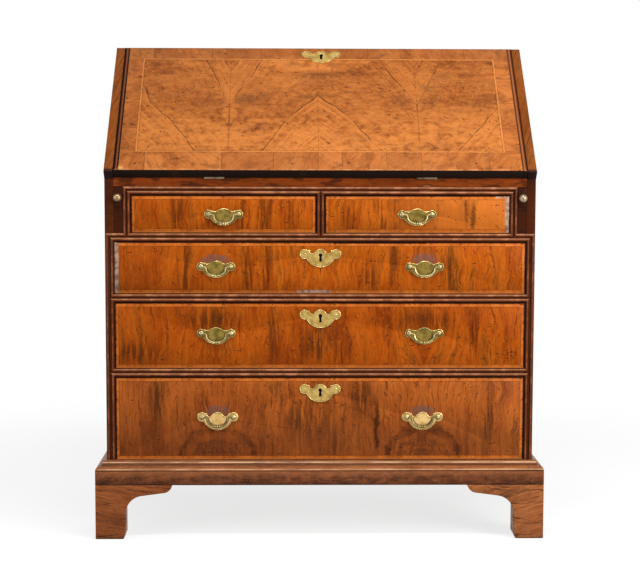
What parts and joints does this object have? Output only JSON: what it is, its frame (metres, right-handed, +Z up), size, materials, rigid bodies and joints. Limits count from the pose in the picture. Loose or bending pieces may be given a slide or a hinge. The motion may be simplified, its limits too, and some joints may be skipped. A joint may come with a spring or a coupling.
{
  "type": "slope-front bureau",
  "caption": "Walnut slope-front writing desk on bracket feet: the fall drops onto pull-out lopers over graduated drawers with brass bail handles.",
  "frame": {"origin": "on the floor under the middle of the desk's bounding box", "axes": "+Z up, -Y towards the writer at the front, +X to the writer's right"},
  "size_m": [0.96, 0.531, 1.06],
  "materials": {
    "case_walnut": "waxed walnut veneer",
    "drawer_walnut": "waxed figured walnut veneer",
    "fall_walnut": "waxed figured walnut veneer, sun bleached",
    "bead_walnut": "waxed cross-grain walnut",
    "base_walnut": "waxed walnut, worn",
    "secondary_oak": "bare aged oak",
    "interior_walnut": "waxed walnut",
    "brass": "worn cast brass",
    "iron": "old forged iron"
  },
  "bodies": {
    "case": {"case_side_left": "case_walnut", "case_side_right": "case_walnut", "case_top": "case_walnut", "case_bottom": "secondary_oak", "back_boards": "secondary_oak", "writing_bed": "case_walnut", "drawer_rails": "case_walnut", "dust_boards": "secondary_oak", "upper_partitions": "case_walnut", "carcase_beads": "bead_walnut", "base_mouldings": "base_walnut", "plinth_aprons": "base_walnut", "foot_front_left": "base_walnut", "foot_front_right": "base_walnut", "foot_back_left": "base_walnut", "foot_back_right": "base_walnut", "case_hinge_leaves": "brass", "gallery": "interior_walnut", "gallery_valances": "interior_walnut"},
    "fall": {"fall_board": "fall_walnut", "fall_edges": "fall_walnut", "fall_hinge_leaves": "brass", "fall_lock": "brass", "fall_escutcheon": "brass"},
    "fall_lock_bolt": {"fall_lock_bolt": "iron"},
    "loper_left": {"loper_left": "case_walnut", "loper_knob_left": "brass"},
    "short_drawer_left": {"short_drawer_left_front": "drawer_walnut", "short_drawer_left_box": "secondary_oak", "short_drawer_left_handle": "brass"},
    "short_drawer_left_bail": {"short_drawer_left_bail": "brass"},
    "loper_right": {"loper_right": "case_walnut", "loper_knob_right": "brass"},
    "short_drawer_right": {"short_drawer_right_front": "drawer_walnut", "short_drawer_right_box": "secondary_oak", "short_drawer_right_handle": "brass"},
    "short_drawer_right_bail": {"short_drawer_right_bail": "brass"},
    "long_drawer_1": {"long_drawer_1_front": "drawer_walnut", "long_drawer_1_box": "secondary_oak", "long_drawer_1_brasses": "brass"},
    "long_drawer_1_bail_left": {"long_drawer_1_bail_left": "brass"},
    "long_drawer_1_bail_right": {"long_drawer_1_bail_right": "brass"},
    "long_drawer_1_lock_bolt": {"long_drawer_1_lock_bolt": "iron"},
    "long_drawer_2": {"long_drawer_2_front": "drawer_walnut", "long_drawer_2_box": "secondary_oak", "long_drawer_2_brasses": "brass"},
    "long_drawer_2_bail_left": {"long_drawer_2_bail_left": "brass"},
    "long_drawer_2_bail_right": {"long_drawer_2_bail_right": "brass"},
    "long_drawer_2_lock_bolt": {"long_drawer_2_lock_bolt": "iron"},
    "long_drawer_3": {"long_drawer_3_front": "drawer_walnut", "long_drawer_3_box": "secondary_oak", "long_drawer_3_brasses": "brass"},
    "long_drawer_3_bail_left": {"long_drawer_3_bail_left": "brass"},
    "long_drawer_3_bail_right": {"long_drawer_3_bail_right": "brass"},
    "long_drawer_3_lock_bolt": {"long_drawer_3_lock_bolt": "iron"},
    "small_drawer_1": {"small_drawer_1": "interior_walnut"},
    "small_drawer_2": {"small_drawer_2": "interior_walnut"},
    "small_drawer_3": {"small_drawer_3": "interior_walnut"},
    "small_drawer_4": {"small_drawer_4": "interior_walnut"},
    "cupboard_door": {"cupboard_door": "interior_walnut"}
  },
  "joints": [
    {"name": "fall_hinge", "type": "hinge", "parent": "case", "child": "fall", "pos_m": [0, -0.2457, 0.772], "axis": [1, 0, 0], "range_deg": [0, 136]},
    {"name": "fall_lock_bolt_slide", "type": "slide", "parent": "fall", "child": "fall_lock_bolt", "axis": [0, 0.7193, 0.6947], "range_m": [0, 0.009]},
    {"name": "loper_left_slide", "type": "slide", "parent": "case", "child": "loper_left", "axis": [0, -1, 0], "range_m": [0, 0.28]},
    {"name": "loper_right_slide", "type": "slide", "parent": "case", "child": "loper_right", "axis": [0, -1, 0], "range_m": [0, 0.28]},
    {"name": "short_drawer_left_slide", "type": "slide", "parent": "case", "child": "short_drawer_left", "axis": [0, -1, 0], "range_m": [0, 0.35]},
    {"name": "short_drawer_left_bail_swing", "type": "hinge", "parent": "short_drawer_left", "child": "short_drawer_left_bail", "pos_m": [-0.205, -0.2499, 0.695], "axis": [-1, 0, 0], "range_deg": [0, 100]},
    {"name": "short_drawer_right_slide", "type": "slide", "parent": "case", "child": "short_drawer_right", "axis": [0, -1, 0], "range_m": [0, 0.35]},
    {"name": "short_drawer_right_bail_swing", "type": "hinge", "parent": "short_drawer_right", "child": "short_drawer_right_bail", "pos_m": [0.205, -0.2499, 0.695], "axis": [-1, 0, 0], "range_deg": [0, 100]},
    {"name": "long_drawer_1_slide", "type": "slide", "parent": "case", "child": "long_drawer_1", "axis": [0, -1, 0], "range_m": [0, 0.35]},
    {"name": "long_drawer_1_bail_left_swing", "type": "hinge", "parent": "long_drawer_1", "child": "long_drawer_1_bail_left", "pos_m": [-0.222, -0.2499, 0.58375], "axis": [-1, 0, 0], "range_deg": [0, 100]},
    {"name": "long_drawer_1_bail_right_swing", "type": "hinge", "parent": "long_drawer_1", "child": "long_drawer_1_bail_right", "pos_m": [0.222, -0.2499, 0.58375], "axis": [-1, 0, 0], "range_deg": [0, 100]},
    {"name": "long_drawer_1_lock_bolt_slide", "type": "slide", "parent": "long_drawer_1", "child": "long_drawer_1_lock_bolt", "axis": [0, 0, 1], "range_m": [0, 0.009]},
    {"name": "long_drawer_2_slide", "type": "slide", "parent": "case", "child": "long_drawer_2", "axis": [0, -1, 0], "range_m": [0, 0.35]},
    {"name": "long_drawer_2_bail_left_swing", "type": "hinge", "parent": "long_drawer_2", "child": "long_drawer_2_bail_left", "pos_m": [-0.222, -0.2499, 0.4415], "axis": [-1, 0, 0], "range_deg": [0, 100]},
    {"name": "long_drawer_2_bail_right_swing", "type": "hinge", "parent": "long_drawer_2", "child": "long_drawer_2_bail_right", "pos_m": [0.222, -0.2499, 0.4415], "axis": [-1, 0, 0], "range_deg": [0, 100]},
    {"name": "long_drawer_2_lock_bolt_slide", "type": "slide", "parent": "long_drawer_2", "child": "long_drawer_2_lock_bolt", "axis": [0, 0, 1], "range_m": [0, 0.009]},
    {"name": "long_drawer_3_slide", "type": "slide", "parent": "case", "child": "long_drawer_3", "axis": [0, -1, 0], "range_m": [0, 0.35]},
    {"name": "long_drawer_3_bail_left_swing", "type": "hinge", "parent": "long_drawer_3", "child": "long_drawer_3_bail_left", "pos_m": [-0.2195, -0.2499, 0.26075], "axis": [-1, 0, 0], "range_deg": [0, 100]},
    {"name": "long_drawer_3_bail_right_swing", "type": "hinge", "parent": "long_drawer_3", "child": "long_drawer_3_bail_right", "pos_m": [0.2195, -0.2499, 0.26075], "axis": [-1, 0, 0], "range_deg": [0, 100]},
    {"name": "long_drawer_3_lock_bolt_slide", "type": "slide", "parent": "long_drawer_3", "child": "long_drawer_3_lock_bolt", "axis": [0, 0, 1], "range_m": [0, 0.009]},
    {"name": "small_drawer_1_slide", "type": "slide", "parent": "case", "child": "small_drawer_1", "axis": [0, -1, 0], "range_m": [0, 0.14]},
    {"name": "small_drawer_2_slide", "type": "slide", "parent": "case", "child": "small_drawer_2", "axis": [0, -1, 0], "range_m": [0, 0.14]},
    {"name": "small_drawer_3_slide", "type": "slide", "parent": "case", "child": "small_drawer_3", "axis": [0, -1, 0], "range_m": [0, 0.14]},
    {"name": "small_drawer_4_slide", "type": "slide", "parent": "case", "child": "small_drawer_4", "axis": [0, -1, 0], "range_m": [0, 0.14]},
    {"name": "cupboard_door_hinge", "type": "hinge", "parent": "case", "child": "cupboard_door", "pos_m": [-0.0632, 0.0535, 0.828], "axis": [0, 0, -1], "range_deg": [0, 90]}
  ]
}
